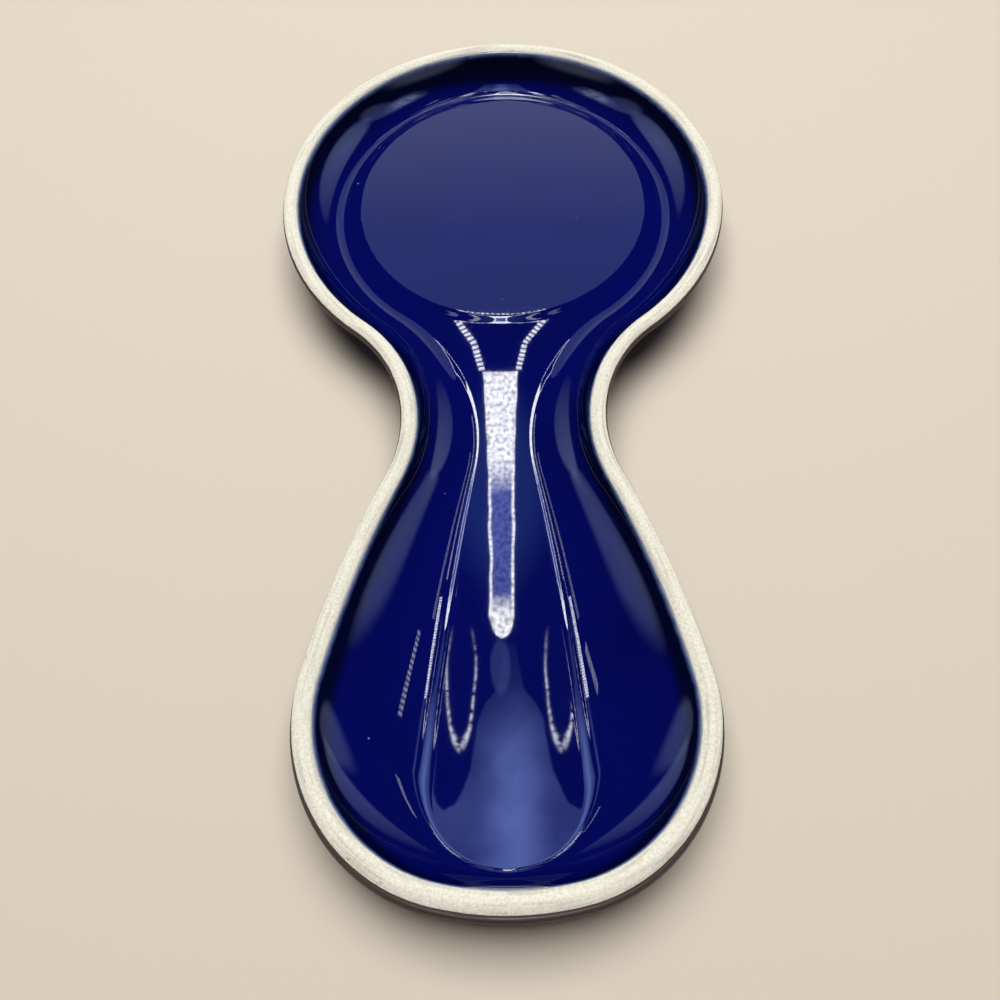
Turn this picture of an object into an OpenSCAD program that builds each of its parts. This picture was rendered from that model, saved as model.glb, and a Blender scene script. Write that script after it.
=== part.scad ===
// Double spoon rest: a round dish and a longer bowl joined by a narrow neck under one rim.
// One moulded stoneware shell carries three glaze coats and leaves its rim and foot ring bare.
// Millimetres, +Z up, origin on the table under the middle, dish towards +Y.

/* [Overall] */
// Length over the far and near tips
total_l = 240; // [228:1:270]
// Height of the rim's crest above the table
height = 17; // [16:0.5:24]

/* [Plan at the widest line] */
// Diameter of the dish
dish_d = 121; // [108:0.5:128]
// Width of the neck at its waist
neck_w = 49.4; // [42:0.2:58]
// Distance of the waist from the dish's centre
waist_l = 74; // [66:0.5:82]
// Width of the bowl
bowl_w = 87.4; // [78:0.2:96]
// Radius of the bowl's rounded corners
corner_r = 37; // [30:0.5:41]
// Radius of the bowl's near tip
tip_r = 69; // [55:1:110]
// Radius of the bowl's flanks
flank_r = 220; // [130:5:300]

/* [Rim] */
// Width of the bare rim round the dish and neck
rim_w = 3.6; // [2.4:0.1:5]
// Width of the bare rim round the bowl
bowl_rim_w = 4; // [2.4:0.1:5.5]
// How far the rim's inner and outer edges fall below its crest
rim_crown = 0.7; // [0.3:0.1:1.2]
// How far the glazed shoulder stands out beyond the rim
shoulder_out = 0.5; // [0.2:0.1:1.2]
// The same at the near tip
tip_shoulder_out = 1.6; // [0.4:0.1:2.4]
// Drop from the rim's crest to the shoulder's widest line
shoulder_drop = 2; // [1.5:0.1:3]

/* [Hollow] */
// Depth of the hollow below the rim's crest
hollow_depth = 9.5; // [7:0.5:10.5]
// Distance from the rim's inner edge to the flat floor at the dish's sides
dish_wall_run = 10.4; // [8:0.2:20]
// The same at the dish's far end
far_wall_run = 8.5; // [7:0.25:16]
// Width of the flat floor in the neck
floor_neck_w = 12.5; // [8:0.5:20]
// Width of the bowl's flat floor
floor_bowl_w = 31; // [28:0.5:38]
// Radius of the nearly straight flanks of the bowl's floor
floor_flank_r = 900; // [400:50:2000]
// Radius of the bowl floor's rounded corners
floor_corner_r = 13.5; // [8:0.5:15]
// Radius of the bowl floor's near end
floor_tip_r = 20; // [17:0.5:30]
// Distance from the rim's near inner edge to the flat floor
near_wall_run = 4; // [3.6:0.2:10]
// Length over which the wall curves up out of the flat floor in the dish
wall_fillet = 3.5; // [2:0.25:5]
// The same in the neck
neck_fillet = 9; // [5:0.5:12]
// The same in the bowl
bowl_fillet = 9; // [5:0.5:14]
// The same at the near tip
tip_fillet = 2.7; // [1.5:0.1:3.5]
// Height of the steep lip under the rim's inner edge
lip_h = 3.4; // [2:0.2:4.4]
// How far that lip leans outwards
lip_run = 1.3; // [0.6:0.1:2.4]

/* [Underside] */
// Height of the foot ring
foot_h = 3; // [2:0.25:4]
// Width of the foot ring where it stands
foot_w = 3; // [2:0.25:4.5]
// Taper of each side of the foot ring
foot_taper = 0.6; // [0.2:0.1:1]
// Distance of the foot from the shoulder round the dish
dish_foot_in = 20; // [16:0.5:26]
// The same in the neck
neck_foot_in = 12; // [9:0.5:14]
// The same round the bowl
bowl_foot_in = 19; // [15:0.5:22]
// The same at the near tip
tip_foot_in = 14; // [12:0.5:18]

/* [Glaze] */
// Thickness of each glaze coat
glaze_t = 0.5; // [0.3:0.05:0.7]
// Bare clay between the underside's glaze and the foot ring
bare_margin = 1.2; // [0.6:0.1:2]

/* [Hidden] */
// Fullness of the outside, 2 being an ellipse
outside_power = 1.6;
// Share of the outside's turn that the glaze covers before it stops above the foot
glazed_turn = 0.9;
// Least lengthwise run of a bowl's flank
least_flank_l = 2;
// Segments of each arc of one half of an outline, from the far tip to the near one
dish_quarter_steps = 11;
dish_lower_steps = 8;
neck_steps = 11;
flank_steps = 8;
corner_steps = 9;
tip_steps = 5;
half_steps = dish_quarter_steps + dish_lower_steps + neck_steps + flank_steps + corner_steps + tip_steps;
ring_points = 2 * half_steps;
// Rings down the hollow's wall, across the rim and down the outside
wall_rings = 10;
rim_rings = 4;
outside_rings = 8;

dish_y = total_l / 2 - dish_d / 2;
waist_y = dish_y - waist_l;
near_tip_y = -total_l / 2;
edge_z = height - rim_crown;
shoulder_z = height - shoulder_drop;
floor_z = height - hollow_depth;
wall_rise = edge_z - floor_z;
// Insets of the rim's inner edge from the widest line
inner_in = shoulder_out + rim_w;
bowl_inner_in = shoulder_out + bowl_rim_w;
tip_inner_in = tip_shoulder_out + bowl_rim_w;
// Insets of the foot ring's edges from its outer top edge
foot_sole_in = foot_taper + foot_w;
foot_inner_in = foot_sole_in + foot_taper;

clay = [0.93, 0.90, 0.82];
cobalt = [0.07, 0.08, 0.42];
navy = [0.03, 0.03, 0.12];

function mix(a, b, t) = a + (b - a) * t;
function heading(v) = atan2(v[1], v[0]);
function positive(a) = a < 0 ? a + 360 : a;

// Points along an arc without its last one, which starts the next arc
function arc(centre, r, from, to, steps) = [
    for (i = [0 : steps - 1])
        let (a = mix(from, to, i / steps)) centre + r * [cos(a), sin(a)]
];

// Centre at distance ra from a and rb from b, on the side towards the axis
function meeting_centre(a, ra, b, rb) =
    let (
        d = norm(b - a),
        u = (b - a) / d,
        along = (ra * ra - rb * rb + d * d) / (2 * d),
        across = sqrt(ra * ra - along * along)
    )
    a + along * u + across * [u[1], -u[0]];

// Points below the waist drawn in towards it by the given share
function squeezed(line, share) = [
    for (p = line) p[1] < waist_y ? [p[0], waist_y + (p[1] - waist_y) * share] : p
];

// Closed hourglass outline of tangent arcs: dish, waist, flank, corner and near tip, then mirrored back.
// In a bowl too short for them the arcs below the waist are drawn at the shortest length that leaves a flank
// between waist and corner, and squeezed lengthwise into the room there is.
function hourglass(dish_r, dish_cy, neck_half, side_r, bowl_half, round_r, end_r, tip_y) =
    let (
        down = dish_cy - waist_y,
        waist_r = (down * down - dish_r * dish_r + neck_half * neck_half) / (2 * (dish_r - neck_half)),
        dish = [0, dish_cy],
        waist = [neck_half + waist_r, waist_y],
        corner_x = bowl_half - round_r,
        tip_to_corner = sqrt(pow(end_r - round_r, 2) - corner_x * corner_x),
        waist_to_corner = sqrt(max(0, pow(waist_r + round_r, 2) - pow(waist[0] - corner_x, 2))),
        room = waist_y - tip_y,
        drawn_l = max(room, waist_to_corner + end_r - tip_to_corner + least_flank_l),
        tip = [0, waist_y - drawn_l + end_r],
        corner = tip + [corner_x, -tip_to_corner],
        flank = meeting_centre(waist, side_r + waist_r, corner, side_r - round_r),
        leave_dish = heading(waist - dish),
        leave_waist = positive(heading(flank - waist)),
        enter_flank = heading(waist - flank),
        leave_flank = heading(corner - flank),
        leave_corner = heading(corner - tip),
        half = concat(
            arc(dish, dish_r, 90, 0, dish_quarter_steps),
            arc(dish, dish_r, 0, leave_dish, dish_lower_steps),
            arc(waist, waist_r, leave_dish + 180, leave_waist, neck_steps),
            arc(flank, side_r, enter_flank, leave_flank, flank_steps),
            arc(corner, round_r, leave_flank, leave_corner, corner_steps),
            arc(tip, end_r, leave_corner, -90, tip_steps),
            [[0, waist_y - drawn_l]]
        ),
        line = concat(half, [for (i = [half_steps - 1 : -1 : 1]) [-half[i][0], half[i][1]]])
    )
    squeezed(line, room / drawn_l);

// The widest line moved inwards by its own distance at the dish, neck, bowl and near tip
function inset(at_dish, at_neck, at_bowl, at_tip) = hourglass(
    dish_d / 2 - at_dish, dish_y, neck_w / 2 - at_neck, flank_r - at_bowl, bowl_w / 2 - at_bowl,
    corner_r - at_bowl, tip_r - at_bowl, near_tip_y + at_tip
);

shoulder_line = inset(0, 0, 0, 0);
rim_outer_line = inset(shoulder_out, shoulder_out, shoulder_out, tip_shoulder_out);
rim_inner_line = inset(inner_in, inner_in, bowl_inner_in, tip_inner_in);
floor_tip_y = near_tip_y + tip_inner_in + near_wall_run;
floor_dish_r = dish_d / 2 - inner_in - dish_wall_run;

// Edge of the flat floor moved outwards by its own distance at the dish, neck, bowl and near tip
function floor_edge(at_dish, at_neck, at_bowl, at_tip) = hourglass(
    floor_dish_r + at_dish, total_l / 2 - inner_in - far_wall_run - floor_dish_r, floor_neck_w / 2 + at_neck,
    floor_flank_r + at_bowl, floor_bowl_w / 2 + at_bowl, floor_corner_r + at_bowl, floor_tip_r + at_bowl,
    floor_tip_y - at_tip
);
floor_line = floor_edge(0, 0, 0, 0);
fillet_line = floor_edge(wall_fillet, neck_fillet, bowl_fillet, tip_fillet);
function foot_line(in) = inset(dish_foot_in + in, neck_foot_in + in, bowl_foot_in + in, tip_foot_in + in);

function at_height(line, z) = [for (p = line) [p[0], p[1], z]];
function between(line_a, line_b, t, z) = [
    for (i = [0 : ring_points - 1]) let (p = mix(line_a[i], line_b[i], t)) [p[0], p[1], z]
];

// Ring moved by t along the line from each point of "inward" to its point of "outward", and lifted by rise
function moved(ring, inward, outward, t, rise) = [
    for (i = [0 : ring_points - 1])
        let (
            v = outward[i] - inward[i],
            step = v * t / norm(v)
        )
        ring[i] + [step[0], step[1], rise]
];

// Hollow's wall: a cubic curve from the flat floor's edge (t 0) to the rim's inner edge (t 1). It leaves level with
// the floor along the local fillet, which the wall's run limits, and ends along the lip. "coat" moves it into the
// clay, square to the curve.
function wall_point(i, t, coat) =
    let (
        v = rim_inner_line[i] - floor_line[i],
        run = norm(v),
        fillet = min(norm(fillet_line[i] - floor_line[i]), run - lip_run),
        s = 1 - t,
        x = 3 * s * s * t * fillet + 3 * s * t * t * (run - lip_run) + t * t * t * run,
        z = 3 * s * t * t * (wall_rise - lip_h) + t * t * t * wall_rise,
        dx = s * s * fillet + 2 * s * t * (run - lip_run - fillet) + t * t * lip_run,
        dz = 2 * s * t * (wall_rise - lip_h) + t * t * lip_h,
        steep = norm([dx, dz]),
        plan = floor_line[i] + v / run * (x + coat * dz / steep)
    )
    [plan[0], plan[1], floor_z + z - coat * dx / steep];
function hollow_ring(k, coat) = [for (i = [0 : ring_points - 1]) wall_point(i, k / wall_rings, coat)];

// Outside: a superellipse from the shoulder (turn 0) in under the shell to the foot (turn 90)
foot_top_line = foot_line(0);
function outside_ring(turn) = between(
    foot_top_line, shoulder_line, pow(cos(turn), 2 / outside_power),
    mix(shoulder_z, foot_h, pow(sin(turn), 2 / outside_power))
);
function outside_clay_ring(turn) = moved(
    outside_ring(turn), foot_top_line, shoulder_line, -glaze_t * cos(turn), glaze_t * sin(turn)
);
function outside_turn(k) = 90 * glazed_turn * k / outside_rings;

// Rings shared by the body and the coats on it
rim_inner_ring = at_height(rim_inner_line, edge_z);
rim_outer_ring = at_height(rim_outer_line, edge_z);
hollow_clay_rings = [for (k = [0 : wall_rings - 1]) hollow_ring(k, glaze_t)];
outside_clay_rings = [for (k = [0 : outside_rings - 1]) outside_clay_ring(outside_turn(k))];
glaze_end_ring = outside_ring(outside_turn(outside_rings));

// Crowned top of the rim between its two edges
crown_rings = [
    for (k = [1 : rim_rings - 1])
        let (t = k / rim_rings)
        between(rim_inner_line, rim_outer_line, t, edge_z + rim_crown * sin(180 * t))
];

// Two triangles for each cell between rings k and k + 1, split along the same diagonal everywhere
function side_faces(k) = [
    for (i = [0 : ring_points - 1], half = [0, 1])
        let (
            j = (i + 1) % ring_points,
            a = k * ring_points + i,
            b = k * ring_points + j,
            c = a + ring_points,
            d = b + ring_points
        )
        half == 0 ? [a, b, d] : [a, d, c]
];

// Flat cap across a ring, in strips between its right half and its mirrored left half
function cap_faces(start) = [
    for (i = [0 : half_steps - 1], half = [0, 1])
        let (
            right = start + i,
            right_next = right + 1,
            left = start + (ring_points - i) % ring_points,
            left_next = start + ring_points - i - 1
        )
        if (half == 0 ? i < half_steps - 1 : i > 0)
            half == 0 ? [right, right_next, left_next] : [right, i < half_steps - 1 ? left_next : right_next, left]
];
function flipped(faces) = [for (f = faces) [f[2], f[1], f[0]]];

// Closed solid through a list of rings, capped across the first and the last.
// Rings that climb the solid's outer side start at its bottom, and the other order turns the faces round.
module skin(rings, climbing) {
    last = len(rings) - 1;
    faces = concat(
        flipped(cap_faces(0)),
        [for (k = [0 : last - 1]) each side_faces(k)],
        cap_faces(last * ring_points)
    );
    polyhedron(points = [for (r = rings) each r], faces = climbing ? faces : flipped(faces));
}

// Closed band through a list of rings whose last one joins the first
module band(rings) {
    count = len(rings);
    total = count * ring_points;
    faces = [for (k = [0 : count - 1]) each [for (f = side_faces(k)) [for (v = f) v % total]]];
    polyhedron(points = [for (r = rings) each r], faces = faces);
}

// Moulded clay shell: hollow, bare crowned rim, outside and bare foot ring
module stoneware_body() {
    foot_rings = [
        at_height(foot_top_line, foot_h),
        at_height(foot_line(foot_taper), 0),
        at_height(foot_line(foot_sole_in), 0),
        at_height(foot_line(foot_inner_in), foot_h)
    ];
    color(clay) skin(concat(
        hollow_clay_rings, [rim_inner_ring], crown_rings, [rim_outer_ring],
        outside_clay_rings, [glaze_end_ring], foot_rings
    ), climbing = false);
}

// Cobalt coat over the whole hollow, running out to nothing at the rim's inner edge
module interior_glaze() {
    top_rings = [for (k = [wall_rings - 1 : -1 : 0]) hollow_ring(k, 0)];
    color(cobalt) skin(concat(hollow_clay_rings, [rim_inner_ring], top_rings), climbing = true);
}

// Navy coat over the shoulder and the outside, running out to nothing at the rim and above the foot
module exterior_glaze() {
    top_rings = [for (k = [outside_rings - 1 : -1 : 0]) outside_ring(outside_turn(k))];
    color(navy) band(concat([rim_outer_ring], outside_clay_rings, [glaze_end_ring], top_rings));
}

// Coat on the flat recess inside the foot ring
module underside_glaze() {
    coat_line = foot_line(foot_inner_in + bare_margin);
    rings = [at_height(coat_line, foot_h - glaze_t), at_height(coat_line, foot_h)];
    color(navy) skin(rings, climbing = true);
}

stoneware_body();
interior_glaze();
exterior_glaze();
underside_glaze();
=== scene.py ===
import bpy
import numpy as np
from mathutils import Matrix, Vector


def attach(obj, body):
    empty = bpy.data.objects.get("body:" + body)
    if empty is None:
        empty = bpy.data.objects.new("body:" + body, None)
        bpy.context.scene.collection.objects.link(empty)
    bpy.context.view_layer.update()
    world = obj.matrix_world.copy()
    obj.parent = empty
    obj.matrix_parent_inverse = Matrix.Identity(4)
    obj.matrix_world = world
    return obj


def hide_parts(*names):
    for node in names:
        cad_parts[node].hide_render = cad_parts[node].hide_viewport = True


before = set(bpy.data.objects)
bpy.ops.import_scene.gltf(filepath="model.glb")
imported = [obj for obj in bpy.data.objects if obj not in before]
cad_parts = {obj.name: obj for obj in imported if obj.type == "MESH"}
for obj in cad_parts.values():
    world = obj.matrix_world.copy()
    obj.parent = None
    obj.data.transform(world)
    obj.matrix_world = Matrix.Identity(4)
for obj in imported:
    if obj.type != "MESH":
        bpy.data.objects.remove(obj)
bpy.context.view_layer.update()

# Stoneware body: the moulded clay shell that everything else is on.
# It is buff stoneware, slip-cast in one piece. Its rim was wiped bare before firing, and it stands
# on a bare foot ring, so clay shows only there.
MM = 0.001
TOTAL_L = 240 * MM
HEIGHT = 17 * MM
DISH_D = 121 * MM
NECK_W = 49.4 * MM
WAIST_L = 74 * MM
BOWL_W = 87.4 * MM
CORNER_R = 37 * MM
TIP_R = 69 * MM
FLANK_R = 220 * MM
RIM_W = 3.6 * MM
BOWL_RIM_W = 4 * MM
RIM_CROWN = 0.7 * MM
SHOULDER_OUT = 0.5 * MM
TIP_SHOULDER_OUT = 1.6 * MM
SHOULDER_DROP = 2 * MM
HOLLOW_DEPTH = 9.5 * MM
FLOOR_DISH_D = 92 * MM
FAR_WALL_RUN = 8.5 * MM
FLOOR_NECK_W = 12.5 * MM
FLOOR_BOWL_W = 31 * MM
FLOOR_FLANK_R = 900 * MM
FLOOR_CORNER_R = 13.5 * MM
FLOOR_TIP_R = 20 * MM
NEAR_WALL_RUN = 4 * MM
FOOT_H = 3 * MM
FOOT_W = 3 * MM
FOOT_TAPER = 0.6 * MM
FOOT_ROUND = 0.35 * MM
DISH_FOOT_IN = 20 * MM
NECK_FOOT_IN = 12 * MM
BOWL_FOOT_IN = 19 * MM
TIP_FOOT_IN = 14 * MM
GLAZE_T = 0.5 * MM
DISH_FILLET = 3.5 * MM
NECK_FILLET = 9 * MM
BOWL_FILLET = 9 * MM
TIP_FILLET = 2.7 * MM
LIP_H = 3.4 * MM
LIP_RUN = 1.3 * MM
PLATEAU_R = 41 * MM
PLATEAU_Y = 64 * MM
PLATEAU_H = 0.25 * MM
PLATEAU_EDGE = 2.6 * MM
OUTSIDE_POWER = 1.6
GLAZED_TURN = np.radians(81)

DISH_Y = TOTAL_L / 2 - DISH_D / 2
WAIST_Y = DISH_Y - WAIST_L
NEAR_TIP_Y = -TOTAL_L / 2
EDGE_Z = HEIGHT - RIM_CROWN
SHOULDER_Z = HEIGHT - SHOULDER_DROP
FLOOR_Z = HEIGHT - HOLLOW_DEPTH
INNER_IN = SHOULDER_OUT + RIM_W
BOWL_INNER_IN = SHOULDER_OUT + BOWL_RIM_W
TIP_INNER_IN = TIP_SHOULDER_OUT + BOWL_RIM_W
FOOT_SOLE_IN = FOOT_TAPER + FOOT_W
FOOT_INNER_IN = FOOT_SOLE_IN + FOOT_TAPER

# Points on each arc of one half of an outline, from the far tip to the near one
ARC_POINTS = (66, 48, 66, 48, 54, 30)
HALF_POINTS = sum(ARC_POINTS)
RING_POINTS = 2 * HALF_POINTS


def heading(v):
    """Angle of a plan vector from +X."""
    return np.arctan2(v[1], v[0])


def hourglass(dish_r, dish_cy, neck_half, side_r, bowl_half, round_r, end_r, tip_y):
    """Closed plan outline of tangent arcs: dish, waist, flank, corner and near tip, mirrored across X = 0.

    The waist's arc touches the dish's circle from outside, the flank's arc touches the waist's from
    outside and the corner's from inside, and the tip's arc holds the corner's from inside."""
    down = dish_cy - WAIST_Y
    waist_r = (down ** 2 - dish_r ** 2 + neck_half ** 2) / (2 * (dish_r - neck_half))
    dish = np.array([0, dish_cy])
    waist = np.array([neck_half + waist_r, WAIST_Y])
    tip = np.array([0, tip_y + end_r])
    corner_x = bowl_half - round_r
    corner = tip + [corner_x, -np.sqrt((end_r - round_r) ** 2 - corner_x ** 2)]
    to_waist, to_corner = side_r + waist_r, side_r - round_r
    apart = np.hypot(*(corner - waist))
    u = (corner - waist) / apart
    along = (to_waist ** 2 - to_corner ** 2 + apart ** 2) / (2 * apart)
    across = np.sqrt(to_waist ** 2 - along ** 2)
    flank = waist + along * u + across * np.array([u[1], -u[0]])
    leave_dish = heading(waist - dish)
    arcs = (
        (dish, dish_r, np.pi / 2, 0),
        (dish, dish_r, 0, leave_dish),
        (waist, waist_r, leave_dish + np.pi, heading(flank - waist) % (2 * np.pi)),
        (flank, side_r, heading(waist - flank), heading(corner - flank)),
        (corner, round_r, heading(corner - flank), heading(corner - tip)),
        (tip, end_r, heading(corner - tip), -np.pi / 2),
    )
    half = []
    for (centre, r, start, end), count in zip(arcs, ARC_POINTS):
        a = start + (end - start) * np.arange(count) / count
        half.append(centre + r * np.stack([np.cos(a), np.sin(a)], 1))
    half = np.vstack(half + [[[0, tip_y]]])
    return np.vstack([half, half[-2:0:-1] * [-1, 1]])


def inset(at_dish, at_neck, at_bowl, at_tip):
    """The widest plan line moved inwards by its own distance at the dish, neck, bowl and near tip."""
    return hourglass(
        DISH_D / 2 - at_dish, DISH_Y, NECK_W / 2 - at_neck, FLANK_R - at_bowl, BOWL_W / 2 - at_bowl,
        CORNER_R - at_bowl, TIP_R - at_bowl, NEAR_TIP_Y + at_tip,
    )


def foot_line(more):
    """Plan line of the foot ring's outer top edge, moved inwards by more."""
    return inset(DISH_FOOT_IN + more, NECK_FOOT_IN + more, BOWL_FOOT_IN + more, TIP_FOOT_IN + more)


shoulder_line = inset(0, 0, 0, 0)
rim_outer_line = inset(SHOULDER_OUT, SHOULDER_OUT, SHOULDER_OUT, TIP_SHOULDER_OUT)
rim_inner_line = inset(INNER_IN, INNER_IN, BOWL_INNER_IN, TIP_INNER_IN)
foot_top_line = foot_line(0)


def floor_edge(at_dish, at_neck, at_bowl, at_tip):
    """The flat floor's edge in plan, moved outwards by its own distance at the dish, neck, bowl and tip."""
    return hourglass(
        FLOOR_DISH_D / 2 + at_dish, TOTAL_L / 2 - INNER_IN - FAR_WALL_RUN - FLOOR_DISH_D / 2,
        FLOOR_NECK_W / 2 + at_neck, FLOOR_FLANK_R + at_bowl, FLOOR_BOWL_W / 2 + at_bowl,
        FLOOR_CORNER_R + at_bowl, FLOOR_TIP_R + at_bowl, NEAR_TIP_Y + TIP_INNER_IN + NEAR_WALL_RUN - at_tip,
    )


floor_line = floor_edge(0, 0, 0, 0)
fillet_line = floor_edge(DISH_FILLET, NECK_FILLET, BOWL_FILLET, TIP_FILLET)


def rings(line_a, line_b, share, z):
    """Grid of rings: each is the plan between line_a (share 0) and line_b (share 1), at its own height z."""
    share = np.atleast_1d(share)
    plan = line_a + (line_b - line_a) * share[:, None, None]
    z = np.broadcast_to(np.atleast_1d(z)[:, None, None], plan.shape[:2] + (1,))
    return np.concatenate([plan, z], 2)


def outward(line_a, line_b):
    """Unit plan vectors from each point of line_a towards its point of line_b."""
    v = line_b - line_a
    return v / np.hypot(v[:, 0], v[:, 1])[:, None]


def lift(plan):
    """Height of the dish's floor above the rest of the floor at plan points: a flat round plateau whose edge
    falls away over PLATEAU_EDGE along a smooth fifth-power step."""
    r = np.hypot(plan[..., 0], plan[..., 1] - PLATEAU_Y)
    s = np.clip((r - PLATEAU_R) / PLATEAU_EDGE, 0, 1)
    return PLATEAU_H * (1 - s ** 3 * (10 - 15 * s + 6 * s ** 2))


def hollow(t, coat):
    """The hollow's wall at each t of a cubic Bezier curve from the flat floor's edge (0) to the rim (1).

    The curve leaves level with the floor along the local fillet and reaches the rim along the steep lip, so
    the slope between them is whatever the local run gives. coat moves it into the clay, square to the
    curve."""
    t = t[:, None]
    run = np.linalg.norm(rim_inner_line - floor_line, axis=1)[None]
    fillet = np.minimum(np.linalg.norm(fillet_line - floor_line, axis=1)[None], run - LIP_RUN)
    rise = EDGE_Z - FLOOR_Z
    first, second, third = 3 * (1 - t) ** 2 * t, 3 * (1 - t) * t ** 2, t ** 3
    x = first * fillet + second * (run - LIP_RUN) + third * run
    z = second * (rise - LIP_H) + third * rise
    a, b, c = 3 * (1 - t) ** 2, 6 * (1 - t) * t, 3 * t ** 2
    dx = a * fillet + b * (run - LIP_RUN - fillet) + c * LIP_RUN
    dz = b * (rise - LIP_H) + c * LIP_H
    steep = np.hypot(dx, dz)
    x = x + coat * dz / steep
    plan = floor_line + outward(floor_line, rim_inner_line) * x[..., None]
    z = FLOOR_Z + z - coat * dx / steep + lift(plan)
    return np.concatenate([plan, z[..., None]], 2)


def outside(turn, coat):
    """The outside at each turn of a superellipse from the shoulder (0) in to the foot (a right angle).

    coat moves it into the clay, inwards by the turn's cosine and up by its sine."""
    share = np.cos(turn) ** (2 / OUTSIDE_POWER)
    z = SHOULDER_Z + (FOOT_H - SHOULDER_Z) * np.sin(turn) ** (2 / OUTSIDE_POWER)
    grid = rings(foot_top_line, shoulder_line, share, z + coat * np.sin(turn))
    grid[..., :2] -= outward(foot_top_line, shoulder_line) * (coat * np.cos(turn))[:, None, None]
    return grid


def ring_solid(name, grid, capped, turned):
    """Closed mesh through a grid of rings: a quad for each cell, then either a strip cap across the
    first and the last ring or quads from the last ring back to the first. turned flips every face."""
    count = len(grid)
    start = np.arange(count - 1 if capped else count)[:, None] * RING_POINTS
    i = np.arange(RING_POINTS)[None]
    j = (i + 1) % RING_POINTS
    after = (start + RING_POINTS) % (count * RING_POINTS)
    quads = np.stack([start + i, start + j, after + j, after + i], -1).reshape(-1, 4)
    way = -1 if turned else 1
    faces = quads[:, ::way].tolist()
    if capped:
        right = np.arange(1, HALF_POINTS - 1)
        strip = np.stack([right, right + 1, RING_POINTS - right - 1, RING_POINTS - right], -1)
        ends = np.array([[0, 1, RING_POINTS - 1], [HALF_POINTS - 1, HALF_POINTS, HALF_POINTS + 1]])
        for base, cap_way in ((0, -way), ((count - 1) * RING_POINTS, way)):
            faces += (base + strip[:, ::cap_way]).tolist()
            faces += (base + ends[:, ::cap_way]).tolist()
    mesh = bpy.data.meshes.new(name)
    mesh.from_pydata(grid.reshape(-1, 3).tolist(), [], faces)
    mesh.shade_smooth()
    piece = bpy.data.objects.new(name, mesh)
    bpy.context.collection.objects.link(piece)
    return piece


def keep_measure(piece, name, values):
    """Store one number for each vertex, in millimetres, for the piece's material to read."""
    layer = piece.data.attributes.new(name, "FLOAT", "POINT")
    layer.data.foreach_set("value", (np.asarray(values) / MM).astype(np.float32).ravel())


def ring_lengths(grid):
    """Length along each ring from the far tip, running the same way down both sides, and length across
    the rings from the first one, both measured on the surface."""
    steps = np.linalg.norm(np.diff(grid[:, :HALF_POINTS + 1], axis=1), axis=2)
    half = np.concatenate([np.zeros((len(grid), 1)), np.cumsum(steps, 1)], 1)
    along = np.concatenate([half, half[:, -2:0:-1]], 1)
    steps_across = np.linalg.norm(np.diff(grid, axis=0), axis=2)
    across = np.concatenate([np.zeros((1, RING_POINTS)), np.cumsum(steps_across, 0)])
    return along, across


WALL_RINGS = 28
RIM_RINGS = 14
OUTSIDE_RINGS = 28
wall_turns = np.linspace(0, 1, WALL_RINGS, endpoint=False)
glazed_turns = np.linspace(0, GLAZED_TURN, OUTSIDE_RINGS, endpoint=False)
rim_share = np.linspace(0, 1, RIM_RINGS + 1)
hollow_clay = hollow(wall_turns, GLAZE_T)
rim_top = rings(rim_inner_line, rim_outer_line, rim_share, EDGE_Z + RIM_CROWN * np.sin(np.pi * rim_share))
outside_clay = outside(glazed_turns, GLAZE_T)
glaze_end = outside(np.array([GLAZED_TURN]), 0)

# The foot ring's edges are rounded by the sponge, so each is a small quarter turn
ROUND_POINTS = 5
round_turn = np.linspace(0, np.pi / 2, ROUND_POINTS)
foot_outer_z = FOOT_ROUND * (1 - np.sin(round_turn))
foot_outer_in = FOOT_TAPER + FOOT_ROUND * (1 - np.cos(round_turn))
foot_steps = [(0, FOOT_H)]
foot_steps += list(zip(foot_outer_in, foot_outer_z))
foot_steps += list(zip(FOOT_SOLE_IN + FOOT_TAPER - foot_outer_in[::-1], foot_outer_z[::-1]))
foot_steps += [(FOOT_INNER_IN, FOOT_H)]
foot = np.concatenate([rings(foot_line(inward), foot_top_line, 0, z) for inward, z in foot_steps])

body_grid = np.concatenate([hollow_clay, rim_top, outside_clay, glaze_end, foot])
body = ring_solid("stoneware_body_fired", body_grid, capped=True, turned=True)
along, across = ring_lengths(body_grid)
keep_measure(body, "along_mm", along)
keep_measure(body, "rim_mm", np.abs(across - across[WALL_RINGS]))


def linear(hex_colour):
    """sRGB hex colour as linear red, green, blue and alpha."""
    c = np.array([int(hex_colour[k:k + 2], 16) for k in (1, 3, 5)]) / 255
    c = np.where(c <= 0.04045, c / 12.92, ((c + 0.055) / 1.055) ** 2.4)
    return (*c.tolist(), 1.0)


def put(tree, kind, sockets=None, **settings):
    """Add a node with its settings, and give each named or numbered socket a value or a link."""
    made = tree.nodes.new(kind)
    for name, value in settings.items():
        setattr(made, name, value)
    for name, value in (sockets or {}).items():
        if isinstance(value, bpy.types.NodeSocket):
            tree.links.new(value, made.inputs[name])
        else:
            made.inputs[name].default_value = value
    return made


def new_material(name):
    """An empty node material and its output node."""
    material = bpy.data.materials.new(name)
    material.use_nodes = True
    tree = material.node_tree
    tree.nodes.clear()
    return material, tree, tree.nodes.new("ShaderNodeOutputMaterial")


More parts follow.
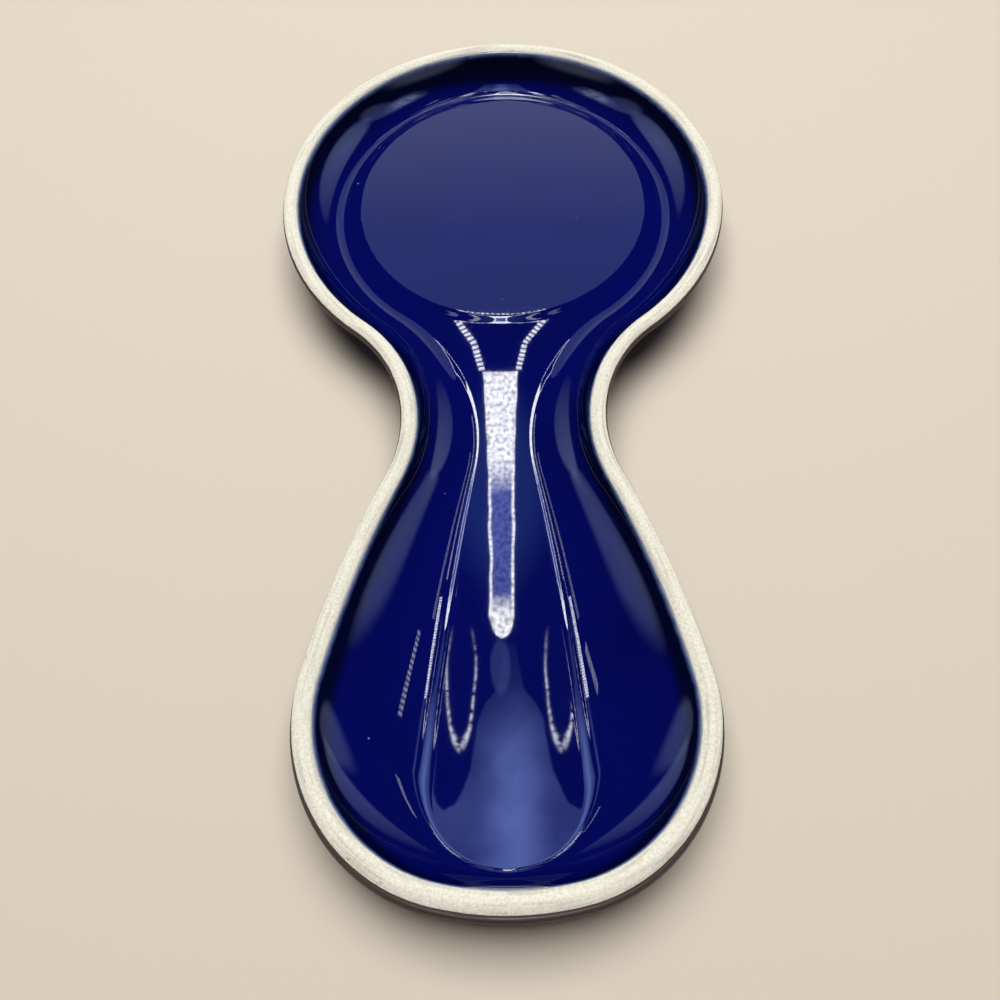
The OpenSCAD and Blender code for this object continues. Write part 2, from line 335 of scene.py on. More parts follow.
# Bare buff stoneware: dry and matt, sandy with fine pale grains under a millimetre across,
# with faint grey sponge streaks drawn along the rim and a few short iron dashes in them.
CLAY = "#DCD6BE"
CLAY_PALE = "#F2EFE1"
CLAY_GREY = "#A9A097"
CLAY_IRON = "#574B40"
CLAY_ROUGHNESS = 0.85
CLAY_IOR = 1.5
GRAIN = 0.55 * MM
GRAIN_STEP = (0.36, 0.6)
GRAIN_BUMP = 0.12 * MM
STREAK_L_MM = 16
STREAK_W_MM = 0.9
STREAK_STEP = (0.5, 0.78)
STREAK_SHARE = 0.7
DASH_L_MM = 2.6
DASH_W_MM = 0.4
DASH_STEP = (0.74, 0.8)
DASH_SHARE = 0.85
SIDES_APART = 7
clay, tree, out = new_material("bare_buff_stoneware")
place = put(tree, "ShaderNodeTexCoord").outputs["Object"]
grain = put(tree, "ShaderNodeTexNoise", {
    "Vector": place, "Scale": 1 / GRAIN, "Detail": 4.0, "Roughness": 0.7,
}).outputs["Fac"]
pale_share = put(tree, "ShaderNodeMapRange", {
    "Value": grain, "From Min": GRAIN_STEP[0], "From Max": GRAIN_STEP[1],
}).outputs[0]
sandy = put(tree, "ShaderNodeMix", {
    0: pale_share, 6: linear(CLAY), 7: linear(CLAY_PALE),
}, data_type="RGBA").outputs[2]

# The rim's own coordinates: along it and across it in millimetres, and its left or right side
along_mm = put(tree, "ShaderNodeAttribute", attribute_name="along_mm").outputs["Fac"]
rim_mm = put(tree, "ShaderNodeAttribute", attribute_name="rim_mm").outputs["Fac"]
across_way = put(tree, "ShaderNodeSeparateXYZ", {0: place}).outputs["X"]
side = put(tree, "ShaderNodeMath", {0: across_way}, operation="SIGN").outputs[0]
rim_place = put(tree, "ShaderNodeCombineXYZ", {"X": along_mm, "Y": rim_mm, "Z": side}).outputs[0]

streak_place = put(tree, "ShaderNodeVectorMath", {
    0: rim_place, 1: (1 / STREAK_L_MM, 1 / STREAK_W_MM, SIDES_APART),
}, operation="MULTIPLY").outputs[0]
streaks = put(tree, "ShaderNodeTexNoise", {
    "Vector": streak_place, "Scale": 1.0, "Detail": 3.0,
}).outputs["Fac"]
streak_share = put(tree, "ShaderNodeMapRange", {
    "Value": streaks, "From Min": STREAK_STEP[0], "From Max": STREAK_STEP[1], "To Max": STREAK_SHARE,
}).outputs[0]
streaky = put(tree, "ShaderNodeMix", {
    0: streak_share, 6: sandy, 7: linear(CLAY_GREY),
}, data_type="RGBA").outputs[2]
dash_place = put(tree, "ShaderNodeVectorMath", {
    0: rim_place, 1: (1 / DASH_L_MM, 1 / DASH_W_MM, SIDES_APART),
}, operation="MULTIPLY").outputs[0]
dashes = put(tree, "ShaderNodeTexNoise", {
    "Vector": dash_place, "Scale": 1.0, "Detail": 1.0,
}).outputs["Fac"]
dash_share = put(tree, "ShaderNodeMapRange", {
    "Value": dashes, "From Min": DASH_STEP[0], "From Max": DASH_STEP[1], "To Max": DASH_SHARE,
}).outputs[0]
dashed = put(tree, "ShaderNodeMix", {
    0: dash_share, 6: streaky, 7: linear(CLAY_IRON),
}, data_type="RGBA").outputs[2]
bump = put(tree, "ShaderNodeBump", {"Height": grain, "Strength": 0.5, "Distance": GRAIN_BUMP}).outputs[0]
shader = put(tree, "ShaderNodeBsdfPrincipled", {
    "Base Color": dashed, "Roughness": CLAY_ROUGHNESS, "IOR": CLAY_IOR, "Normal": bump,
})
tree.links.new(shader.outputs[0], out.inputs["Surface"])
body.data.materials.append(clay)
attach(body, "root")
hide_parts("stoneware_body")

# Interior glaze: the cobalt coat poured into the hollow and run out to nothing at the rim's inner edge.
# It is a glossy glass melted on to the clay, thin and pale where it breaks over the rim.
FLOOR_RINGS = 56
FLOOR_START = 0.02
floor_share = np.linspace(FLOOR_START, 1, FLOOR_RINGS, endpoint=False)
axis_line = floor_line * [0, 1]
hollow_top = hollow(wall_turns[::-1], 0)
floor_top = rings(axis_line, floor_line, floor_share[::-1], FLOOR_Z)
floor_top[..., 2] += lift(floor_top[..., :2])
inside_grid = np.concatenate([hollow_clay, rim_top[:1], hollow_top, floor_top])
inside = ring_solid("interior_glaze_cobalt", inside_grid, capped=True, turned=False)
across = ring_lengths(inside_grid)[1]
keep_measure(inside, "edge_mm", np.abs(across - across[WALL_RINGS]))

# Cobalt gloss glaze: a clear deep blue glass. It breaks pale and then mid blue where it thins out over the
# rim's edge, ripples faintly so that mirrored edges waver, and has a few pale pinholes, whose radii are
# shares of the gap between them. The nearly black band on the steep wall under the rim is painted shade.
COBALT = "#02085C"
COBALT_DEEP = "#01064A"
# Colour of the painted shade on the steep wall under the rim
COBALT_SHADE_PAINTED = "#00031C"
COBALT_MID = "#4A66A8"
COBALT_THIN = "#A9ABB4"
COBALT_ROUGHNESS = 0.02
GLASS_IOR = 1.5
THIN_MM = (-0.2, 0.7)
MID_MM = (0.3, 1.3)
MID_SHARE = 0.8
# Where the painted shade under the rim fades out, in millimetres from the rim's edge, and how dark it paints
SHADE_FADE_MM = (3.0, 6.5)
SHADE_STRENGTH = 0.9
# Painted shadow: the painted shade's extra reach on the far wall, and its smaller reach at the lit near tip
FAR_SHADOW_Y = (98 * MM, 116 * MM)
FAR_SHADOW_MM = 4.0
NEAR_LIT_Y = (-104 * MM, -118 * MM)
NEAR_LIT_MM = 3.0
WAVER = 3 * MM
WAVER_MM = 0.7
POOL = 25 * MM
RIPPLE = 14 * MM
RIPPLE_H = 0.015 * MM
PINHOLE_GAP = 7 * MM
PINHOLE_RADII = (0.02, 0.04)
PINHOLE_SHARE = 0.6
CELLS_WITHOUT = 0.8
cobalt, tree, out = new_material("cobalt_gloss_glaze")
place = put(tree, "ShaderNodeTexCoord").outputs["Object"]
edge_mm = put(tree, "ShaderNodeAttribute", attribute_name="edge_mm").outputs["Fac"]
waver = put(tree, "ShaderNodeTexNoise", {"Vector": place, "Scale": 1 / WAVER, "Detail": 2.0}).outputs["Fac"]
wavy_edge = put(tree, "ShaderNodeMath", {
    0: waver, 1: -WAVER_MM, 2: edge_mm,
}, operation="MULTIPLY_ADD").outputs[0]
pooled = put(tree, "ShaderNodeTexNoise", {"Vector": place, "Scale": 1 / POOL, "Detail": 1.0}).outputs["Fac"]
deep = put(tree, "ShaderNodeMix", {
    0: pooled, 6: linear(COBALT), 7: linear(COBALT_DEEP),
}, data_type="RGBA").outputs[2]

# The painted shade reaches further down on the far wall, as the painted shadow the rim casts there, and less
# far at the lit near tip
length_way = put(tree, "ShaderNodeSeparateXYZ", {0: place}).outputs["Y"]
far_shadow_reach = put(tree, "ShaderNodeMapRange", {
    "Value": length_way, "From Min": FAR_SHADOW_Y[0], "From Max": FAR_SHADOW_Y[1], "To Max": -FAR_SHADOW_MM,
}).outputs[0]
near_lit_reach = put(tree, "ShaderNodeMapRange", {
    "Value": length_way, "From Min": NEAR_LIT_Y[0], "From Max": NEAR_LIT_Y[1], "To Max": NEAR_LIT_MM,
}).outputs[0]
far_shadowed_mm = put(tree, "ShaderNodeMath", {0: wavy_edge, 1: far_shadow_reach}, operation="ADD").outputs[0]
shade_reach_mm = put(tree, "ShaderNodeMath", {0: far_shadowed_mm, 1: near_lit_reach}, operation="ADD").outputs[0]
# Painted shade: a nearly black band on the steep wall under the rim, mixed into the glaze colour
shade_share = put(tree, "ShaderNodeMapRange", {
    "Value": shade_reach_mm, "From Min": SHADE_FADE_MM[0], "From Max": SHADE_FADE_MM[1], "To Min": SHADE_STRENGTH, "To Max": 0.0,
}, interpolation_type="SMOOTHSTEP").outputs[0]
shade_painted = put(tree, "ShaderNodeMix", {
    0: shade_share, 6: deep, 7: linear(COBALT_SHADE_PAINTED),
}, data_type="RGBA").outputs[2]

mid_share = put(tree, "ShaderNodeMapRange", {
    "Value": wavy_edge, "From Min": MID_MM[0], "From Max": MID_MM[1], "To Min": MID_SHARE, "To Max": 0.0,
}, interpolation_type="SMOOTHSTEP").outputs[0]
breaking = put(tree, "ShaderNodeMix", {
    0: mid_share, 6: shade_painted, 7: linear(COBALT_MID),
}, data_type="RGBA").outputs[2]
thin_share = put(tree, "ShaderNodeMapRange", {
    "Value": wavy_edge, "From Min": THIN_MM[0], "From Max": THIN_MM[1], "To Min": 1.0, "To Max": 0.0,
}, interpolation_type="SMOOTHSTEP").outputs[0]
thinned = put(tree, "ShaderNodeMix", {
    0: thin_share, 6: breaking, 7: linear(COBALT_THIN),
}, data_type="RGBA").outputs[2]
cells = put(tree, "ShaderNodeTexVoronoi", {"Vector": place, "Scale": 1 / PINHOLE_GAP})
cell_number = put(tree, "ShaderNodeSeparateColor", {"Color": cells.outputs["Color"]}).outputs[0]
few = put(tree, "ShaderNodeMath", {0: cell_number, 1: CELLS_WITHOUT}, operation="GREATER_THAN").outputs[0]
dot = put(tree, "ShaderNodeMapRange", {
    "Value": cells.outputs["Distance"], "From Min": PINHOLE_RADII[0], "From Max": PINHOLE_RADII[1],
    "To Min": PINHOLE_SHARE, "To Max": 0.0,
}).outputs[0]
pinhole = put(tree, "ShaderNodeMath", {0: few, 1: dot}, operation="MULTIPLY").outputs[0]
pitted = put(tree, "ShaderNodeMix", {
    0: pinhole, 6: thinned, 7: linear(COBALT_THIN),
}, data_type="RGBA").outputs[2]
ripple = put(tree, "ShaderNodeTexNoise", {"Vector": place, "Scale": 1 / RIPPLE, "Detail": 1.0}).outputs["Fac"]
bump = put(tree, "ShaderNodeBump", {"Height": ripple, "Strength": 1.0, "Distance": RIPPLE_H}).outputs[0]
shader = put(tree, "ShaderNodeBsdfPrincipled", {
    "Base Color": pitted, "Roughness": COBALT_ROUGHNESS, "IOR": GLASS_IOR, "Normal": bump,
})
tree.links.new(shader.outputs[0], out.inputs["Surface"])
inside.data.materials.append(cobalt)
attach(inside, "root")
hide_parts("interior_glaze")

# Exterior glaze: the near-black navy coat on the shoulder and the outside, stopped above the foot.
# It is the same kind of glass as inside and as thick, but nearly black.
outside_top = outside(glazed_turns[::-1], 0)
outside_grid = np.concatenate([rim_top[-1:], outside_clay, glaze_end, outside_top])
coat = ring_solid("exterior_glaze_navy", outside_grid, capped=False, turned=False)
across = ring_lengths(outside_grid)[1]
keep_measure(coat, "edge_mm", np.minimum(across, np.abs(across[-1] - across)))

# Navy gloss glaze: almost black, with a brown bloom where it thins out at the rim and above the foot.
# It mirrors less than the inside does and waves more.
NAVY = "#0B0A18"
NAVY_DEEP = "#060611"
NAVY_THIN = "#4A3F38"
NAVY_ROUGHNESS = 0.07
NAVY_SPECULAR = 0.2
BLOOM_MM = (-0.2, 0.25)
BLOOM_SHARE = 0.9
BLOOM_WAVER_MM = 0.5
NAVY_RIPPLE_H = 0.2 * MM
navy, tree, out = new_material("navy_gloss_glaze")
place = put(tree, "ShaderNodeTexCoord").outputs["Object"]
edge_mm = put(tree, "ShaderNodeAttribute", attribute_name="edge_mm").outputs["Fac"]
waver = put(tree, "ShaderNodeTexNoise", {"Vector": place, "Scale": 1 / WAVER, "Detail": 2.0}).outputs["Fac"]
wavy_edge = put(tree, "ShaderNodeMath", {
    0: waver, 1: -BLOOM_WAVER_MM, 2: edge_mm,
}, operation="MULTIPLY_ADD").outputs[0]
pooled = put(tree, "ShaderNodeTexNoise", {"Vector": place, "Scale": 1 / POOL, "Detail": 2.0}).outputs["Fac"]
deep = put(tree, "ShaderNodeMix", {
    0: pooled, 6: linear(NAVY), 7: linear(NAVY_DEEP),
}, data_type="RGBA").outputs[2]
bloom_share = put(tree, "ShaderNodeMapRange", {
    "Value": wavy_edge, "From Min": BLOOM_MM[0], "From Max": BLOOM_MM[1],
    "To Min": BLOOM_SHARE, "To Max": 0.0,
}, interpolation_type="SMOOTHSTEP").outputs[0]
bloomed = put(tree, "ShaderNodeMix", {
    0: bloom_share, 6: deep, 7: linear(NAVY_THIN),
}, data_type="RGBA").outputs[2]
ripple = put(tree, "ShaderNodeTexNoise", {"Vector": place, "Scale": 1 / RIPPLE, "Detail": 1.0}).outputs["Fac"]
bump = put(tree, "ShaderNodeBump", {"Height": ripple, "Strength": 1.0, "Distance": NAVY_RIPPLE_H}).outputs[0]
shader = put(tree, "ShaderNodeBsdfPrincipled", {
    "Base Color": bloomed, "Roughness": NAVY_ROUGHNESS, "IOR": GLASS_IOR, "Specular IOR Level": NAVY_SPECULAR,
    "Normal": bump,
})
tree.links.new(shader.outputs[0], out.inputs["Surface"])
coat.data.materials.append(navy)
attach(coat, "root")
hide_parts("exterior_glaze")

# Underside glaze: the thin coat brushed on the flat recess inside the foot ring.
# It is the outside's glaze and stops short of the ring, so that the foot stays bare.
BARE_MARGIN = 1.2 * MM
recess_line = foot_line(FOOT_INNER_IN + BARE_MARGIN)
recess_axis = recess_line * [0, 1]
recess_grid = np.concatenate([
    rings(recess_axis, recess_line, floor_share, FOOT_H - GLAZE_T),
    rings(recess_line, recess_line, 0, FOOT_H - GLAZE_T),
    rings(recess_line, recess_line, 0, FOOT_H),
])
recess = ring_solid("underside_glaze_navy", recess_grid, capped=True, turned=False)
across = ring_lengths(recess_grid)[1]
keep_measure(recess, "edge_mm", np.abs(across - across[FLOOR_RINGS]))
recess.data.materials.append(navy)
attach(recess, "root")
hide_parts("underside_glaze")

# Table and light: a plain pale table under a soft lamp from behind and above, with softboxes and rows of
# small lamps that the gloss shows. None of it belongs to the object.
TABLE = "#D8CCBA"
TABLE_ROUGHNESS = 0.8
TABLE_HALF = 2.0
table_x = np.array([-TABLE_HALF, TABLE_HALF, TABLE_HALF, -TABLE_HALF])
table_y = np.array([-TABLE_HALF, -TABLE_HALF, TABLE_HALF, TABLE_HALF])
table_mesh = bpy.data.meshes.new("table")
table_mesh.from_pydata(np.stack([table_x, table_y, np.zeros(4)], 1).tolist(), [], [(0, 1, 2, 3)])
table = bpy.data.objects.new("table", table_mesh)
bpy.context.collection.objects.link(table)
pale, tree, out = new_material("pale_table")
shader = put(tree, "ShaderNodeBsdfPrincipled", {"Base Color": linear(TABLE), "Roughness": TABLE_ROUGHNESS})
tree.links.new(shader.outputs[0], out.inputs["Surface"])
table.data.materials.append(pale)


def softbox(name, place, turn, size, radiance, colour, shape="RECTANGLE", mirrored=True, spread=np.pi):
    """Flat lamp of a given radiance along its axis: its power is the radiance times pi times its area, less
    what a grid of the given spread holds back.

    A mirrored lamp only shows in the gloss, and any other only lights. Gives back the lamp's nodes, its
    emission node and its own coordinates, which run from 0 to 1 across it and along it."""
    lamp = bpy.data.lights.new(name, "AREA")
    lamp.shape = shape
    lamp.size, lamp.size_y = size
    lamp.spread = spread
    area = size[0] * size[1] * (np.pi / 4 if shape == "ELLIPSE" else 1)
    held = 1 - spread / 2 / np.tan(spread / 2) if spread < np.pi else 1
    lamp.energy = radiance * np.pi * area * held
    lamp.color = linear(colour)[:3]
    lamp.use_nodes = True
    stand = bpy.data.objects.new(name, lamp)
    stand.location = place
    stand.rotation_euler = turn
    stand.visible_camera = False
    stand.visible_glossy = mirrored
    stand.visible_diffuse = not mirrored
    bpy.context.collection.objects.link(stand)
    tree = lamp.node_tree
    own = put(tree, "ShaderNodeNewGeometry").outputs["Parametric"]
    return tree, tree.nodes["Emission"], put(tree, "ShaderNodeSeparateXYZ", {0: own}).outputs


def facing(place, aim):
    """Turn of a lamp at place that looks at aim."""
    return (Vector(aim) - Vector(place)).to_track_quat("-Z", "Y").to_euler()


def overhead(name, start, end, width, height, radiance, colour):
    """Softbox that hangs level and faces down, along the line between two plan points."""
    start, end = np.array(start), np.array(end)
    length = np.hypot(*(end - start))
    turn = (0, 0, heading(end - start) - np.pi / 2)
    return softbox(name, (*(start + end) / 2, height), turn, (width, length), radiance, colour)


def shine(tree, emission, *shares):
    """Set a lamp's strength to the product of the given shares."""
    level = shares[0]
    for share in shares[1:]:
        level = put(tree, "ShaderNodeMath", {0: level, 1: share}, operation="MULTIPLY").outputs[0]
    tree.links.new(level, emission.inputs["Strength"])


def difference(tree, first, second):
    """Size of the difference between two numbers, without its sign."""
    signed = put(tree, "ShaderNodeMath", {0: first, 1: second}, operation="SUBTRACT").outputs[0]
    return put(tree, "ShaderNodeMath", {0: signed}, operation="ABSOLUTE").outputs[0]


def along_stops(tree, along, stops):
    """Colour or number that goes straight from stop to stop along a lamp."""
    made = put(tree, "ShaderNodeValToRGB", {"Fac": along})
    stops = [(spot, value if isinstance(value, tuple) else (value,) * 3) for spot, value in stops]
    for slot, (spot, value) in zip(made.color_ramp.elements, (stops[0], stops[-1])):
        slot.position, slot.color = spot, (*value, 1)
    for spot, value in stops[1:-1]:
        made.color_ramp.elements.new(spot).color = (*value, 1)
    return made.outputs["Color"]


LAMP_CENTRE = (0.5, 0.5, 0)


def from_centre(tree, own):
    """Distance from the lamp's centre, a half at the middle of each edge."""
    spot = put(tree, "ShaderNodeCombineXYZ", {"X": own["X"], "Y": own["Y"]}).outputs[0]
    away = put(tree, "ShaderNodeVectorMath", {0: spot, 1: LAMP_CENTRE}, operation="DISTANCE")
    return away.outputs["Value"]


def oval(tree, own, full):
    """Brightness 1 inside an oval over the given share of the lamp, falling smoothly to 0 at its edge."""
    return put(tree, "ShaderNodeMapRange", {
        "Value": from_centre(tree, own), "From Min": full / 2, "From Max": 0.5, "To Min": 1.0, "To Max": 0.0,
    }, interpolation_type="SMOOTHSTEP").outputs[0]


CLOUD_STEP = (0.35, 0.6)


def clouds(tree, own, counts, low, high):
    """Uneven brightness between low and high, in clouds of the given counts across and along the lamp."""
    spot = put(tree, "ShaderNodeCombineXYZ", {"X": own["X"], "Y": own["Y"]}).outputs[0]
    counted = put(tree, "ShaderNodeVectorMath", {0: spot, 1: (*counts, 0)}, operation="MULTIPLY").outputs[0]
    noise = put(tree, "ShaderNodeTexNoise", {"Vector": counted, "Scale": 1.0, "Detail": 2.0}).outputs["Fac"]
    return put(tree, "ShaderNodeMapRange", {
        "Value": noise, "From Min": CLOUD_STEP[0], "From Max": CLOUD_STEP[1], "To Min": low, "To Max": high,
    }).outputs[0]


# Back disc: a round lamp behind the table, paler at its lower edge, that fills the dish's floor
WHITE = "#FFFFFF"
BACK_PLACE = (-0.01, 0.8, 0.78)
BACK_AIM = (-0.01, 0, 0.78)
BACK_D = 0.47
BACK_RADIANCE = 1.0
BACK_STOPS = ((0, (1.0, 1.1, 1.4)), (0.5, (0.47, 0.61, 1.2)), (1, (0.44, 0.58, 1.2)))
tree, emission, own = softbox(
    "back_disc", BACK_PLACE, facing(BACK_PLACE, BACK_AIM), (BACK_D, BACK_D), BACK_RADIANCE, WHITE, "ELLIPSE",
)
tree.links.new(along_stops(tree, own["Y"], BACK_STOPS), emission.inputs["Color"])

# Strip: a long bright lamp that narrows towards the camera, mottled, with a blue middle and bright edges
STRIP_Z = 0.995
STRIP_START = (-0.0195, 0.205)
STRIP_END = (-0.0195, 0.675)
STRIP_W = 0.064
STRIP_RADIANCE = 26.0
STRIP_BLUE = (0.07, 0.09, 0.26)
STRIP_WHITE = (1.0, 1.0, 1.0)
STRIP_TONES = ((0.07, STRIP_WHITE), (0.15, STRIP_BLUE), (0.5, STRIP_BLUE), (0.64, STRIP_WHITE))
STRIP_HALF = (
    (0, 0.02), (0.012, 0.15), (0.03, 0.22), (0.07, 0.28),
    (0.2, 0.3), (0.64, 0.335), (0.83, 0.395), (1, 0.475),
)
STRIP_EDGE = (0.74, 0.84)
STRIP_CLOUDS = (9, 60)
STRIP_MOTTLE = (0.35, 1.0)
tree, emission, own = overhead("strip_lamp", STRIP_START, STRIP_END, STRIP_W, STRIP_Z, STRIP_RADIANCE, WHITE)
tones = along_stops(tree, own["Y"], STRIP_TONES)
half_w = along_stops(tree, own["Y"], STRIP_HALF)
off = difference(tree, own["X"], LAMP_CENTRE[0])
to_edge = put(tree, "ShaderNodeMath", {0: off, 1: half_w}, operation="DIVIDE").outputs[0]
edges = put(tree, "ShaderNodeMapRange", {
    "Value": to_edge, "From Min": STRIP_EDGE[0], "From Max": STRIP_EDGE[1],
}).outputs[0]
framed = put(tree, "ShaderNodeMix", {0: edges, 6: tones, 7: (*STRIP_WHITE, 1)}, data_type="RGBA").outputs[2]
on_strip = put(tree, "ShaderNodeMath", {0: to_edge, 1: 1.0}, operation="LESS_THAN").outputs[0]
tree.links.new(framed, emission.inputs["Color"])
shine(tree, emission, on_strip, clouds(tree, own, STRIP_CLOUDS, *STRIP_MOTTLE))

# Glow: a soft blue lamp over the bowl, brightest along its middle, with a dark drop on each side of it
GLOW = "#93ADFF"
GLOW_Z = 1.0
GLOW_START = (-0.0075, -0.42)
GLOW_END = (-0.0075, 0.2)
GLOW_W = 0.27
GLOW_RADIANCE = 6.6
GLOW_ALONG = ((0, 0.3), (0.4, 0.7), (0.55, 1), (0.68, 1), (0.774, 0.75), (0.858, 0.28), (0.9, 0.1), (1, 0.03))
GLOW_MIDDLE = (0.02, 0.22)
GLOW_SIDE_SHARE = 0.36
GLOW_EDGE = (0.42, 0.5)
GLOW_CLOUDS = (4, 9)
GLOW_MOTTLE = (0.75, 1.1)
DROP_MIDDLE = (
    (0.62, 0.348), (0.637, 0.333), (0.666, 0.326), (0.71, 0.304), (0.774, 0.287),
    (0.818, 0.278), (0.858, 0.254), (0.887, 0.228), (1, 0.204),
)
DROP_HALF = (
    (0.62, 0), (0.637, 0.052), (0.666, 0.082), (0.71, 0.1), (0.774, 0.109),
    (0.818, 0.115), (0.858, 0.135), (0.887, 0.161), (1, 0.185),
)
DROP_EDGE = 0.015
tree, emission, own = overhead("glow_lamp", GLOW_START, GLOW_END, GLOW_W, GLOW_Z, GLOW_RADIANCE, GLOW)
off = difference(tree, own["X"], LAMP_CENTRE[0])
from_drop = difference(tree, off, along_stops(tree, own["Y"], DROP_MIDDLE))
drop_half = along_stops(tree, own["Y"], DROP_HALF)
drop_by = put(tree, "ShaderNodeMath", {0: drop_half, 1: from_drop}, operation="SUBTRACT").outputs[0]
clear_of_drop = put(tree, "ShaderNodeMapRange", {
    "Value": drop_by, "From Min": 0.0, "From Max": DROP_EDGE, "To Min": 1.0, "To Max": 0.0,
}, interpolation_type="SMOOTHSTEP").outputs[0]
bright_middle = put(tree, "ShaderNodeMapRange", {
    "Value": off, "From Min": GLOW_MIDDLE[0], "From Max": GLOW_MIDDLE[1],
    "To Min": 1.0, "To Max": GLOW_SIDE_SHARE,
}, interpolation_type="SMOOTHSTEP").outputs[0]
soft_edge = put(tree, "ShaderNodeMapRange", {
    "Value": off, "From Min": GLOW_EDGE[0], "From Max": GLOW_EDGE[1], "To Min": 1.0, "To Max": 0.0,
}, interpolation_type="SMOOTHSTEP").outputs[0]
lengthwise = along_stops(tree, own["Y"], GLOW_ALONG)
mottled = clouds(tree, own, GLOW_CLOUDS, *GLOW_MOTTLE)
shine(tree, emission, bright_middle, soft_edge, lengthwise, mottled, clear_of_drop)

# Finger and halo: the strip's faint rounded end over the bowl, and a wide dim blue lamp behind the strip
FINGER = "#A6BCFF"
FINGER_START = (-0.022, 0.115)
FINGER_END = (-0.022, 0.21)
FINGER_W = 0.034
FINGER_RADIANCE = 1.2
FINGER_FULL = 0.7
HALO = "#76A6FF"
HALO_START = (-0.02, 0.24)
HALO_END = (-0.02, 0.68)
HALO_W = 0.2
HALO_RADIANCE = 1.0
HALO_FULL = 0.4
tree, emission, own = overhead(
    "finger_lamp", FINGER_START, FINGER_END, FINGER_W, STRIP_Z, FINGER_RADIANCE, FINGER,
)
shine(tree, emission, oval(tree, own, FINGER_FULL))
tree, emission, own = overhead("halo_lamp", HALO_START, HALO_END, HALO_W, GLOW_Z, HALO_RADIANCE, HALO)
shine(tree, emission, oval(tree, own, HALO_FULL))

# Loops: a long ring of small sparkling lamps on each side, over the dark drops, that fades towards the neck
SPARKLE = "#F2F5FF"
SPARKLE_Z = 0.99
LOOP_OUT = 0.071
LOOP_NEAR_Y = 0.03
LOOP_FAR_Y = 0.27
LOOP_W = 0.05
LOOP_RADIANCE = 16.0
LOOP_RING = 0.41
LOOP_RING_HALF = 0.05
LOOP_FADE = (0.4, 0.8)
LOOP_CLOUDS = (5, 30)
LOOP_MOTTLE = (0.0, 1.2)
HANDS = {"left": -1, "right": 1}
for label, hand in HANDS.items():
    x = GLOW_START[0] + hand * LOOP_OUT
    tree, emission, own = overhead(
        label + "_loop", (x, LOOP_NEAR_Y), (x, LOOP_FAR_Y), LOOP_W, SPARKLE_Z, LOOP_RADIANCE, SPARKLE,
    )
    from_ring = difference(tree, from_centre(tree, own), LOOP_RING)
    ring = put(tree, "ShaderNodeMapRange", {
        "Value": from_ring, "From Max": LOOP_RING_HALF, "To Min": 1.0, "To Max": 0.0,
    }).outputs[0]
    fade = put(tree, "ShaderNodeMapRange", {
        "Value": own["Y"], "From Min": LOOP_FADE[0], "From Max": LOOP_FADE[1], "To Min": 1.0, "To Max": 0.0,
    }).outputs[0]
    shine(tree, emission, ring, fade, clouds(tree, own, LOOP_CLOUDS, *LOOP_MOTTLE))

# Lamp rows: small square lamps in straight lines beside the strip, across its far end and over the bowl's
# walls. Each row has its start, end, width, distance from lamp to lamp, and radiance.
ROW_LIT = 0.6
ROW_MOTTLE = (0.5, 1.2)
CLOUDS_PER_LAMP = 2
ROWS = {
    "left_streak": ((-0.125, 0.095), (-0.13, 0.24), 0.035, 0.004, 24.0),
    "right_streak": ((0.09, 0.095), (0.11, 0.24), 0.035, 0.004, 24.0),
    "left_line": ((-0.1, 0.24), (-0.09, 0.62), 0.02, 0.006, 9.0),
    "right_line": ((0.075, 0.24), (0.07, 0.62), 0.02, 0.006, 9.0),
    "left_faint_line": ((-0.19, 0.2), (-0.17, 0.5), 0.03, 0.005, 4.0),
    "right_faint_line": ((0.16, 0.2), (0.15, 0.5), 0.03, 0.005, 4.0),
    "left_outer": ((-0.235, 0.095), (-0.2, 0.16), 0.03, 0.007, 6.0),
    "right_outer": ((0.28, 0.05), (0.28, 0.17), 0.03, 0.008, 6.0),
    "left_stem": ((-0.051, 0.675), (-0.066, 0.731), 0.01, 0.0095, 24.0),
    "right_stem": ((0.012, 0.675), (0.024, 0.731), 0.01, 0.0095, 24.0),
    "left_arm": ((-0.066, 0.731), (-0.1, 0.791), 0.01, 0.0095, 24.0),
    "right_arm": ((0.024, 0.731), (0.067, 0.791), 0.01, 0.0095, 24.0),
    "cross": ((-0.1, 0.791), (0.067, 0.791), 0.01, 0.0095, 24.0),
}
for name, (start, end, width, gap, radiance) in ROWS.items():
    tree, emission, own = overhead(name + "_row", start, end, width, SPARKLE_Z, radiance, SPARKLE)
    count = round(float(np.hypot(*np.subtract(end, start))) / gap)
    counted = put(tree, "ShaderNodeMath", {0: own["Y"], 1: float(count)}, operation="MULTIPLY").outputs[0]
    part = put(tree, "ShaderNodeMath", {0: counted}, operation="FRACT").outputs[0]
    lit = put(tree, "ShaderNodeMath", {0: part, 1: ROW_LIT}, operation="LESS_THAN").outputs[0]
    shine(tree, emission, lit, clouds(tree, own, (1, CLOUDS_PER_LAMP * count), *ROW_MOTTLE))

# Panels, the same on both sides: the side ones show in the dish's walls, the leaf ones in the neck's, and
# the others in the dish's far wall. Each has its place and aim on the right, its size, radiance, colour
# and spread, and the share of it that is fully bright.
PANELS = {
    "side": ((0.3, 0.27, 0.25), (-0.05, 0.17, 0.01), (0.5, 0.22), 2.4, "#B8CBFF", np.radians(80), 0.75),
    "leaf": ((0.3, 0.015, 0.265), (-0.02, -0.04, 0.01), (0.14, 0.26), 1.6, "#B8CBFF", np.radians(80), 0.6),
    "front": ((0.5, -0.16, 0.57), (-0.025, 0.105, 0.01), (0.36, 0.3), 4.5, "#C4D2FF", np.radians(36), 0.3),
    "low": ((0.75, -0.8, 0.35), (0, 0.11, 0.01), (1.1, 0.6), 1.1, "#C4D2FF", np.pi, 0.4),
}
FRONT_CLOUDS = (6, 3)
FRONT_MOTTLE = (0.4, 1.1)
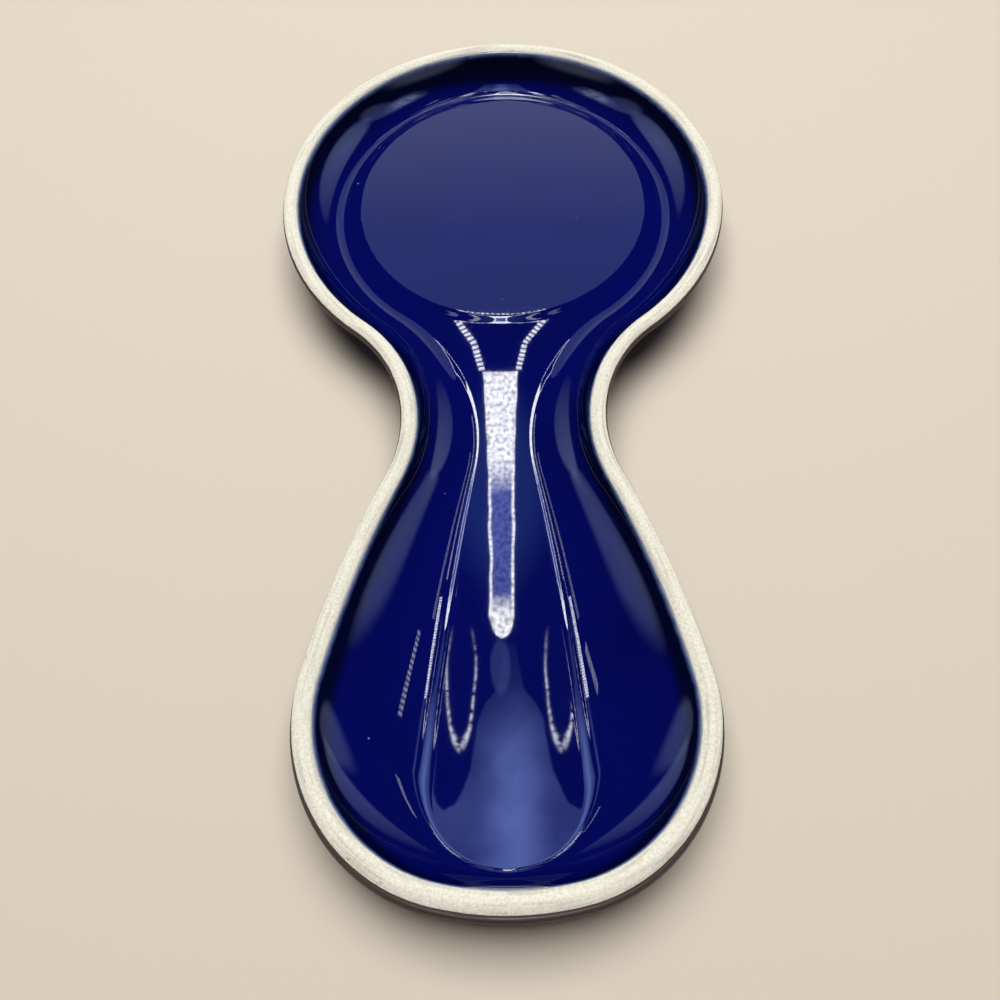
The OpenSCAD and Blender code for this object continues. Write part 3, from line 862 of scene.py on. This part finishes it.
for label, hand in HANDS.items():
    flip = np.array([hand, 1, 1])
    for kind, (place, aim, size, radiance, colour, spread, full) in PANELS.items():
        stand = flip * place
        turn = facing(stand, flip * aim)
        tree, emission, own = softbox(
            f"{label}_{kind}_panel", stand, turn, size, radiance, colour, spread=spread,
        )
        shares = [oval(tree, own, full)]
        if kind == "front":
            shares.append(clouds(tree, own, FRONT_CLOUDS, *FRONT_MOTTLE))
        shine(tree, emission, *shares)

# Key lamp: the only one that lights clay and table, so that no lamp's colour falls on them
KEY_PLACE = (0, 0.35, 1.2)
KEY_SIZE = (1.1, 0.9)
KEY_RADIANCE = 6.9
softbox("key_lamp", KEY_PLACE, facing(KEY_PLACE, (0, 0, 0)), KEY_SIZE, KEY_RADIANCE, WHITE, mirrored=False)

ROOM_RADIANCE = 0.02
world = bpy.data.worlds.new("studio")
world.use_nodes = True
world.node_tree.nodes["Background"].inputs["Color"].default_value = linear(WHITE)
world.node_tree.nodes["Background"].inputs["Strength"].default_value = ROOM_RADIANCE
bpy.context.scene.world = world

# Camera: close above the bowl's near tip and looking down at the photograph's angle
IMAGE_PX = 1000
FOCAL_PX = 800
SENSOR_MM = 36.0
CLIP_START = 0.01
CAMERA_PLACE = (2.41 * MM, -111.52 * MM, 179.67 * MM)
CAMERA_DOWN = np.radians(64.919)
CAMERA_ROLL = np.radians(3.083)
CAMERA_YAW = np.radians(2.493)
camera_data = bpy.data.cameras.new("camera")
camera_data.sensor_fit = "HORIZONTAL"
camera_data.sensor_width = SENSOR_MM
camera_data.lens = SENSOR_MM * FOCAL_PX / IMAGE_PX
camera_data.clip_start = CLIP_START
camera = bpy.data.objects.new("camera", camera_data)
bpy.context.collection.objects.link(camera)
camera.matrix_world = (
    Matrix.Translation(CAMERA_PLACE)
    @ Matrix.Rotation(CAMERA_YAW, 4, "Z")
    @ Matrix.Rotation(np.pi / 2 - CAMERA_DOWN, 4, "X")
    @ Matrix.Rotation(-CAMERA_ROLL, 4, "Z")
)
bpy.context.scene.camera = camera
bpy.context.scene.view_settings.view_transform = "Standard"
